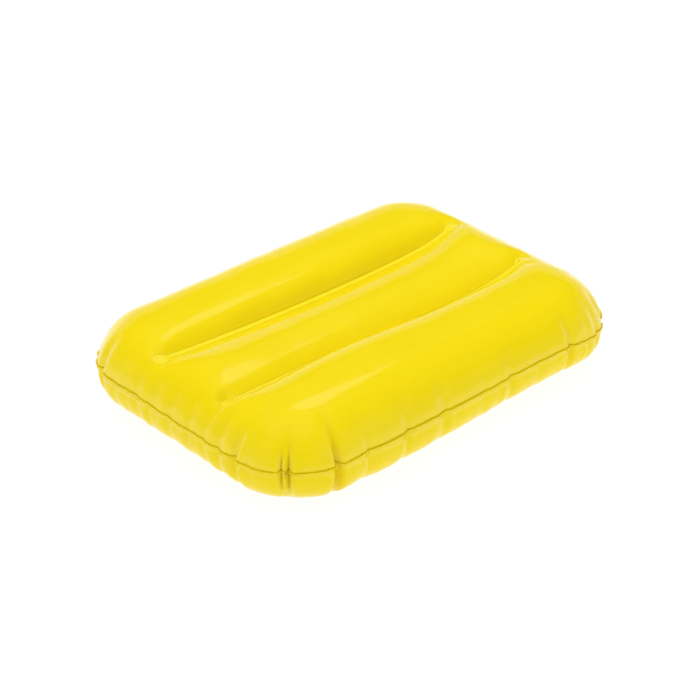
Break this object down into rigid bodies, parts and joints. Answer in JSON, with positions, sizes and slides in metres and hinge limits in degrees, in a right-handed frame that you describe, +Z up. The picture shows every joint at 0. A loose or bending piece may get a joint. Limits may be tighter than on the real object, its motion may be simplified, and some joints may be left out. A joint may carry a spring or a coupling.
{
  "type": "inflatable camp pillow",
  "caption": "Inflatable pillow of welded PVC film with three lengthwise air chambers joined at their ends, internal baffle strips and a push-in air valve.",
  "frame": {"origin": "middle of the underside, on the surface that the pillow lies on", "axes": "+X along the pillow's length, towards the end with the valve; +Y across it; +Z up"},
  "size_m": [0.37, 0.262, 0.068],
  "materials": {
    "film": "soft glossy PVC film, yellow",
    "valve_pvc": "soft moulded PVC, milky clear, satin gloss"
  },
  "bodies": {
    "root": {"top_sheet": "film", "bottom_sheet": "film", "front_baffle": "film", "rear_baffle": "film", "valve_flange": "valve_pvc", "valve_web": "valve_pvc"},
    "stem": {"valve_stem": "valve_pvc", "plug_tether": "valve_pvc"},
    "plug": {"valve_plug": "valve_pvc"},
    "flap": {"check_flap": "valve_pvc"}
  },
  "joints": [
    {"name": "stem_pull", "type": "slide", "parent": "root", "child": "stem", "axis": [0.9063, 0, -0.4226], "range_m": [0, 0.014], "deforming": ["valve_web"]},
    {"name": "plug_pull", "type": "slide", "parent": "stem", "child": "plug", "axis": [0.9063, 0, -0.4226], "range_m": [0, 0.009], "deforming": ["plug_tether"]},
    {"name": "flap_open", "type": "hinge", "parent": "stem", "child": "flap", "pos_m": [0.16755, 0, 0.0295], "axis": [0, 1, 0], "range_deg": [0, 35], "stiffness_Nm_per_rad": 0.00002}
  ]
}
